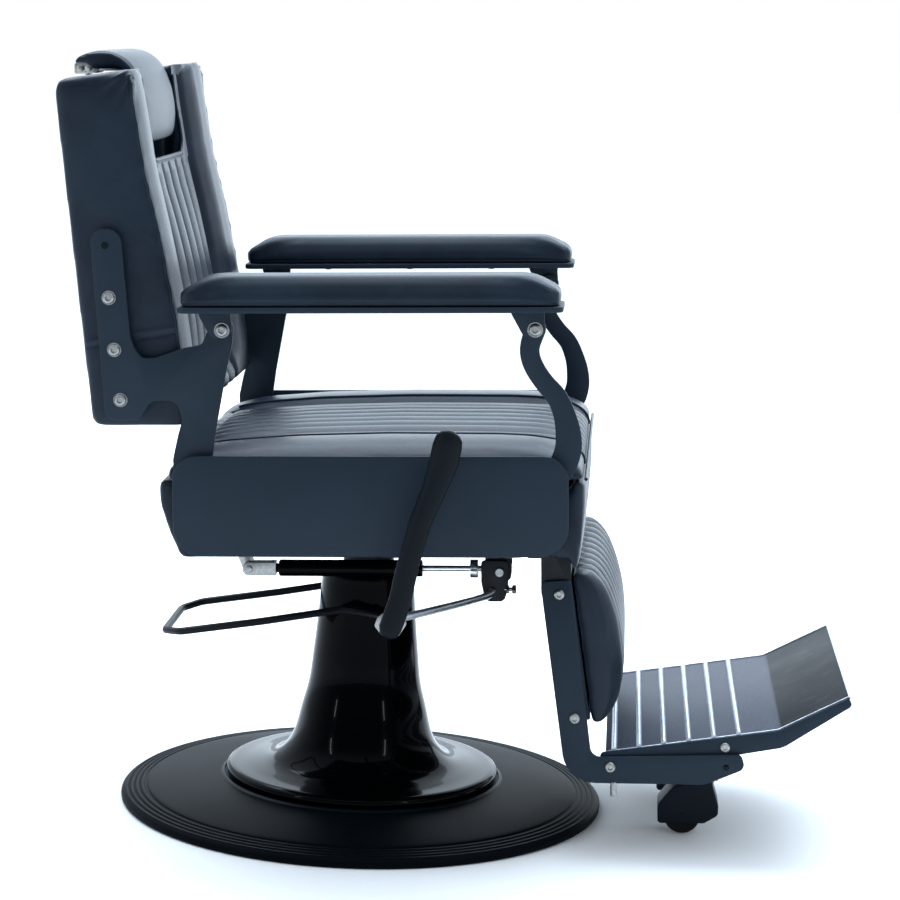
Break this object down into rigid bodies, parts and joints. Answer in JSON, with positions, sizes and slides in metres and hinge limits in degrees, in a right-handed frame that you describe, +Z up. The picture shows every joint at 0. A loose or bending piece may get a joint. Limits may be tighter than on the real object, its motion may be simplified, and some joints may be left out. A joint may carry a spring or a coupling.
{
  "type": "hydraulic barber chair",
  "caption": "Hydraulic barber chair with a reclining channelled back, sliding headrest, linked armrests, side release lever, pump pedal and hinged footrest on a round base.",
  "frame": {"origin": "centre of the round base on the floor", "axes": "+X to the chair's front with the back upright and the seat unturned, +Y to the sitter's left, +Z up"},
  "size_m": [1.0288, 0.686, 0.9939],
  "materials": {
    "base_black": "satin black powder coat",
    "gloss_black": "high gloss black",
    "slate_steel": "fine matte slate powder coat",
    "frame_black": "satin black",
    "leather": "slate blue-black leatherette, fine grain",
    "plywood": "plain plywood",
    "chrome": "polished",
    "zinc": "bright zinc plate",
    "tread": "brushed anodised",
    "plastic": "moulded black",
    "tyre": "smooth black"
  },
  "bodies": {
    "base": {"base_plate": "base_black", "base_cover": "base_black", "pump_cover": "gloss_black", "pump_body": "frame_black"},
    "pedal": {"foot_pedal": "frame_black", "pedal_shaft": "zinc"},
    "plunger": {"pump_plunger": "zinc"},
    "ram": {"pump_ram": "chrome"},
    "seat": {"swivel_hub": "frame_black", "seat_frame": "frame_black", "seat_box": "leather", "seat_board": "plywood", "seat_cushion": "leather", "side_panel_l": "slate_steel", "side_panel_r": "slate_steel", "link_pin_l": "zinc", "link_pin_r": "zinc", "anchor_bracket": "frame_black", "pivot_pin": "zinc", "leg_plate_l": "slate_steel", "leg_plate_r": "slate_steel", "leg_rod_top": "zinc", "leg_rod_mid": "zinc", "foot_pivot_rod": "zinc", "stop_rod": "zinc", "calf_board": "plywood", "calf_pad": "leather", "caster_bar": "frame_black"},
    "back": {"back_bracket_l": "slate_steel", "back_bracket_r": "slate_steel", "recline_shaft": "zinc", "back_frame": "leather", "back_cushion": "leather", "headrest_guide": "frame_black"},
    "headrest": {"headrest_bar": "chrome", "headrest_pillow": "leather"},
    "arm_l": {"arm_plate_l": "slate_steel", "arm_pad_l": "leather", "arm_bolt_rear_l": "zinc", "arm_bolt_front_l": "zinc"},
    "arm_r": {"arm_plate_r": "slate_steel", "arm_pad_r": "leather", "arm_bolt_rear_r": "zinc", "arm_bolt_front_r": "zinc"},
    "link_l": {"front_link_l": "slate_steel"},
    "link_r": {"front_link_r": "slate_steel"},
    "gas_cylinder": {"gas_clevis": "zinc", "gas_cylinder": "frame_black"},
    "gas_rod": {"gas_rod": "chrome"},
    "release_lever": {"release_rocker": "frame_black", "release_rod": "chrome", "lever_handle": "plastic"},
    "foot_rest": {"foot_plate": "tread", "foot_flange_l": "slate_steel", "foot_flange_r": "slate_steel", "foot_rest_rod": "zinc"},
    "caster_l": {"caster_fork_l": "plastic"},
    "caster_tyre_l": {"caster_wheel_l": "tyre"},
    "caster_r": {"caster_fork_r": "plastic"},
    "caster_tyre_r": {"caster_wheel_r": "tyre"}
  },
  "joints": [
    {"name": "ram_lift", "type": "slide", "parent": "base", "child": "ram", "axis": [0, 0, 1], "range_m": [0, 0.15]},
    {"name": "seat_swivel", "type": "hinge", "parent": "ram", "child": "seat", "pos_m": [0, 0, 0.35], "axis": [0, 0, 1], "continuous": true},
    {"name": "back_recline", "type": "hinge", "parent": "seat", "child": "back", "pos_m": [-0.1927, 0, 0.44663], "axis": [0, -1, 0], "range_deg": [0, 35]},
    {"name": "arm_level_l", "type": "hinge", "parent": "back", "child": "arm_l", "pos_m": [-0.16263, 0.291, 0.66374], "axis": [0, -1, 0], "range_deg": [-35, 0]},
    {"name": "arm_level_r", "type": "hinge", "parent": "back", "child": "arm_r", "pos_m": [-0.16263, -0.291, 0.66374], "axis": [0, -1, 0], "range_deg": [-35, 0]},
    {"name": "front_link_swing_l", "type": "hinge", "parent": "seat", "child": "link_l", "pos_m": [0.1889, 0.291, 0.46416], "axis": [0, -1, 0], "range_deg": [0, 35]},
    {"name": "front_link_swing_r", "type": "hinge", "parent": "seat", "child": "link_r", "pos_m": [0.1889, -0.291, 0.46416], "axis": [0, -1, 0], "range_deg": [0, 35]},
    {"name": "gas_clevis_turn", "type": "hinge", "parent": "back", "child": "gas_cylinder", "pos_m": [-0.14537, -0.11, 0.33168], "axis": [0, -1, 0], "range_deg": [-45, 0]},
    {"name": "gas_stroke", "type": "slide", "parent": "gas_cylinder", "child": "gas_rod", "axis": [0.9989, 0, 0.0459], "range_m": [-0.062, 0]},
    {"name": "release_lever_pull", "type": "hinge", "parent": "seat", "child": "release_lever", "pos_m": [0.18128, -0.11, 0.34668], "axis": [0, 1, 0], "range_deg": [0, 8], "stiffness_Nm_per_rad": 20, "springref_deg": -8.59},
    {"name": "pedal_pump", "type": "hinge", "parent": "base", "child": "pedal", "pos_m": [0.034, 0, 0.27], "axis": [0, -1, 0], "range_deg": [0, 15], "stiffness_Nm_per_rad": 12, "springref_deg": -20.05},
    {"name": "plunger_stroke", "type": "slide", "parent": "base", "child": "plunger", "axis": [0, 0, 1], "range_m": [0, 0.006]},
    {"name": "headrest_height", "type": "slide", "parent": "back", "child": "headrest", "axis": [-0.1368, 0, 0.9906], "range_m": [0, 0.09]},
    {"name": "foot_plate_flip", "type": "hinge", "parent": "seat", "child": "foot_rest", "pos_m": [0.33487, 0, 0.11949], "axis": [0, -1, 0], "range_deg": [0, 40]},
    {"name": "caster_swivel_l", "type": "hinge", "parent": "seat", "child": "caster_l", "pos_m": [0.45676, 0.078, 0.08104], "axis": [-0.0459, 0, 0.9989], "continuous": true},
    {"name": "caster_roll_l", "type": "hinge", "parent": "caster_l", "child": "caster_tyre_l", "pos_m": [0.43229, 0.078, 0.02536], "axis": [0, 1, 0], "continuous": true},
    {"name": "caster_swivel_r", "type": "hinge", "parent": "seat", "child": "caster_r", "pos_m": [0.45676, -0.078, 0.08104], "axis": [-0.0459, 0, 0.9989], "continuous": true},
    {"name": "caster_roll_r", "type": "hinge", "parent": "caster_r", "child": "caster_tyre_r", "pos_m": [0.43229, -0.078, 0.02536], "axis": [0, 1, 0], "continuous": true}
  ],
  "couplings": [
    {"joint": "arm_level_l", "follows": "back_recline", "ratio": -1},
    {"joint": "arm_level_r", "follows": "back_recline", "ratio": -1},
    {"joint": "front_link_swing_l", "follows": "back_recline", "ratio": 1},
    {"joint": "front_link_swing_r", "follows": "back_recline", "ratio": 1},
    {"joint": "gas_clevis_turn", "follows": "back_recline", "ratio": -1.25},
    {"joint": "gas_stroke", "follows": "back_recline", "m_per_rad": -0.097},
    {"joint": "plunger_stroke", "follows": "pedal_pump", "m_per_rad": 0.02}
  ]
}
